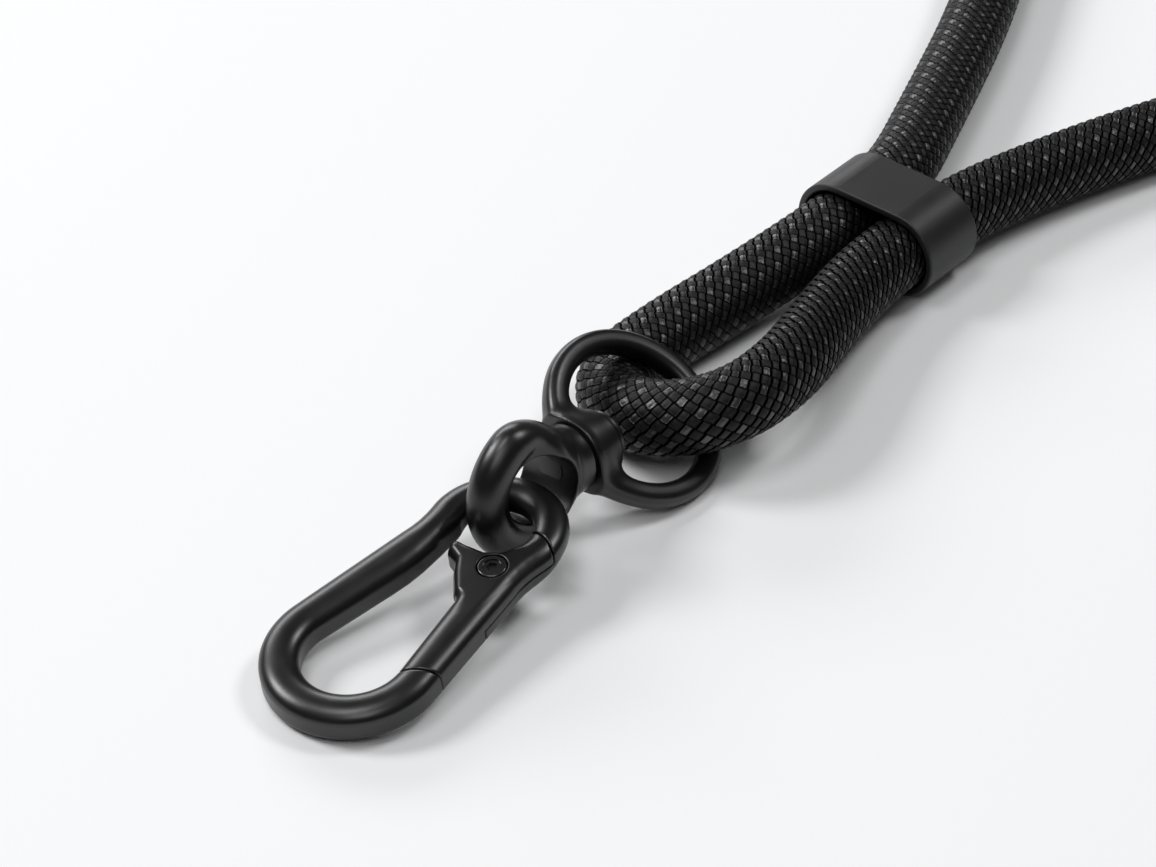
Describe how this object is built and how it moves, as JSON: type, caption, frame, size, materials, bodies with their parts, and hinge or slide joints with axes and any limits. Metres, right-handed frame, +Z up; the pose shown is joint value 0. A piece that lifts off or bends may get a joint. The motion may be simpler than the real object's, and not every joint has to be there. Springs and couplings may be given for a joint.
{
  "type": "rope wrist lanyard",
  "caption": "Black braided rope wrist lanyard with a sliding keeper, a swivel ring and a small gated carabiner.",
  "frame": {"origin": "on the floor under the middle of the metal pieces' bounding box, as the lanyard lies flat", "axes": "+X from the carabiner towards the far end of the rope loop, +Z up"},
  "size_m": [0.223, 0.0825, 0.0158],
  "materials": {
    "braid": "matte black braid with light fleck",
    "core": "plain fibre",
    "tape": "matte",
    "matte_metal": "matte black coat",
    "satin_metal": "satin black coat",
    "screw_metal": "satin black oxide",
    "washer": "dark",
    "bush": "machined",
    "spring": "drawn wire",
    "pad": "matte"
  },
  "bodies": {
    "rope_loop": {"rope_sheath": "braid", "rope_core": "core", "rope_whippings": "tape", "join_sleeve": "matte_metal", "join_screws": "screw_metal"},
    "keeper": {"keeper_sleeve": "matte_metal", "keeper_pads": "pad"},
    "ring": {"rope_ring": "satin_metal", "swivel_bush": "bush"},
    "swivel": {"swivel_eye": "satin_metal", "swivel_rivet": "satin_metal", "swivel_washer": "washer", "swivel_head_washer": "satin_metal"},
    "hook": {"hook_body": "satin_metal", "gate_pivot_screw": "screw_metal", "gate_pivot_nut": "screw_metal", "gate_washer": "washer", "gate_spring": "spring"},
    "gate": {"hook_gate": "satin_metal"}
  },
  "joints": [
    {"name": "keeper_slide", "type": "slide", "parent": "rope_loop", "child": "keeper", "axis": [1, 0, 0], "range_m": [-0.006, 0.001], "deforming": ["rope_sheath", "rope_core"]},
    {"name": "ring_tilt", "type": "hinge", "parent": "rope_loop", "child": "ring", "pos_m": [0.017, 0, 0.0055], "axis": [0, 1, 0], "range_deg": [-25, 25], "deforming": ["rope_sheath", "rope_core"]},
    {"name": "swivel_spin", "type": "hinge", "parent": "ring", "child": "swivel", "pos_m": [-0.0088, -0.0004, 0.0072], "axis": [0.9943, 0, -0.1063], "continuous": true},
    {"name": "hook_link", "type": "hinge", "parent": "swivel", "child": "hook", "pos_m": [-0.01625, -0.0015, 0.00635], "axis": [0, 1, 0], "range_deg": [-30, 60]},
    {"name": "gate_hinge", "type": "hinge", "parent": "hook", "child": "gate", "pos_m": [-0.02632, -0.0053, 0.00507], "axis": [-0.1262, 0, 0.992], "range_deg": [-20, 0], "stiffness_Nm_per_rad": 0.05, "springref_deg": 17.19, "deforming": ["gate_spring"]}
  ]
}
